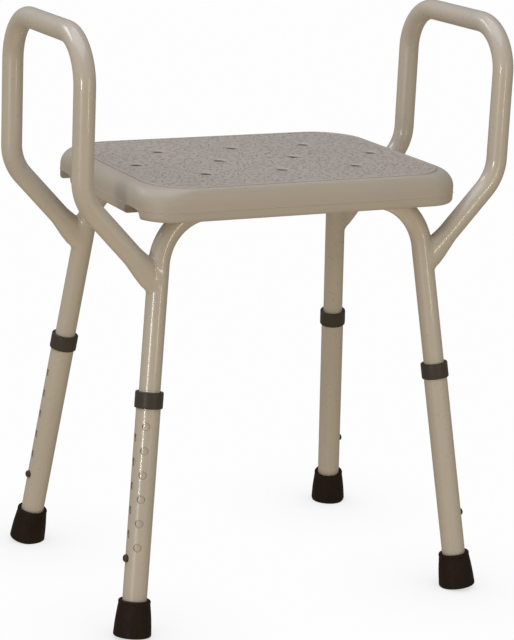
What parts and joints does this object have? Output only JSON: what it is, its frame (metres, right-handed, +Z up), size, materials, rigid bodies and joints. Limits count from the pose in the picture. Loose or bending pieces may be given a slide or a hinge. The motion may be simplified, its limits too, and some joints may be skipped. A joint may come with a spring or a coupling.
{
  "type": "shower stool",
  "caption": "Backless bathroom seat with a drained plastic board, two tubular grab arms and splayed legs that slide to set the height.",
  "frame": {"origin": "on the floor, under the centre of the seat", "axes": "+X to the right seen from the front, -Y towards the front, +Z up"},
  "size_m": [0.5054, 0.3384, 0.6219],
  "materials": {
    "powder_coat": "glossy beige powder coat",
    "weld_coat": "weld bead under the same powder coat",
    "seat_plastic": "grey-beige moulded plastic, fine texture on the top panel",
    "collar_plastic": "satin near-black plastic",
    "ferrule_rubber": "matte dark brown rubber",
    "button_plastic": "satin dark brown plastic",
    "spring_steel": "spring steel strip",
    "washer_steel": "zinc-plated steel",
    "washer_plastic": "satin black plastic",
    "fastener_steel": "stainless steel",
    "brass_insert": "plain brass"
  },
  "bodies": {
    "frame": {"front_leg_frame": "powder_coat", "left_arm": "powder_coat", "left_arm_welds": "weld_coat", "rear_leg_frame": "powder_coat", "right_arm": "powder_coat", "right_arm_welds": "weld_coat", "saddle_washers": "washer_plastic", "seat_board": "seat_plastic", "seat_inserts": "brass_insert", "seat_screws": "fastener_steel", "front_left_button_spring": "spring_steel", "rear_left_button_spring": "spring_steel", "front_right_button_spring": "spring_steel", "rear_right_button_spring": "spring_steel"},
    "front_left_lower_leg": {"front_left_leg_tube": "powder_coat", "front_left_leg_collar": "collar_plastic", "front_left_ferrule": "ferrule_rubber", "front_left_ferrule_washer": "washer_steel"},
    "front_left_button": {"front_left_snap_button": "button_plastic"},
    "rear_left_lower_leg": {"rear_left_leg_tube": "powder_coat", "rear_left_leg_collar": "collar_plastic", "rear_left_ferrule": "ferrule_rubber", "rear_left_ferrule_washer": "washer_steel"},
    "rear_left_button": {"rear_left_snap_button": "button_plastic"},
    "front_right_lower_leg": {"front_right_leg_tube": "powder_coat", "front_right_leg_collar": "collar_plastic", "front_right_ferrule": "ferrule_rubber", "front_right_ferrule_washer": "washer_steel"},
    "front_right_button": {"front_right_snap_button": "button_plastic"},
    "rear_right_lower_leg": {"rear_right_leg_tube": "powder_coat", "rear_right_leg_collar": "collar_plastic", "rear_right_ferrule": "ferrule_rubber", "rear_right_ferrule_washer": "washer_steel"},
    "rear_right_button": {"rear_right_snap_button": "button_plastic"}
  },
  "joints": [
    {"name": "front_left_leg_height", "type": "slide", "parent": "frame", "child": "front_left_lower_leg", "axis": [-0.1074, -0.1399, -0.9843], "range_m": [0, 0.125], "deforming": ["front_left_snap_button", "front_left_button_spring"]},
    {"name": "front_left_button_press", "type": "slide", "parent": "frame", "child": "front_left_button", "axis": [0.9942, -0.0151, -0.1063], "range_m": [0, 0.0049], "stiffness_N_per_m": 600, "springref_m": -0.004, "deforming": ["front_left_button_spring"]},
    {"name": "rear_left_leg_height", "type": "slide", "parent": "frame", "child": "rear_left_lower_leg", "axis": [-0.1074, 0.1399, -0.9843], "range_m": [0, 0.125], "deforming": ["rear_left_snap_button", "rear_left_button_spring"]},
    {"name": "rear_left_button_press", "type": "slide", "parent": "frame", "child": "rear_left_button", "axis": [0.9942, 0.0151, -0.1063], "range_m": [0, 0.0049], "stiffness_N_per_m": 600, "springref_m": -0.004, "deforming": ["rear_left_button_spring"]},
    {"name": "front_right_leg_height", "type": "slide", "parent": "frame", "child": "front_right_lower_leg", "axis": [0.1074, -0.1399, -0.9843], "range_m": [0, 0.125], "deforming": ["front_right_snap_button", "front_right_button_spring"]},
    {"name": "front_right_button_press", "type": "slide", "parent": "frame", "child": "front_right_button", "axis": [-0.9942, -0.0151, -0.1063], "range_m": [0, 0.0049], "stiffness_N_per_m": 600, "springref_m": -0.004, "deforming": ["front_right_button_spring"]},
    {"name": "rear_right_leg_height", "type": "slide", "parent": "frame", "child": "rear_right_lower_leg", "axis": [0.1074, 0.1399, -0.9843], "range_m": [0, 0.125], "deforming": ["rear_right_snap_button", "rear_right_button_spring"]},
    {"name": "rear_right_button_press", "type": "slide", "parent": "frame", "child": "rear_right_button", "axis": [-0.9942, 0.0151, -0.1063], "range_m": [0, 0.0049], "stiffness_N_per_m": 600, "springref_m": -0.004, "deforming": ["rear_right_button_spring"]}
  ]
}
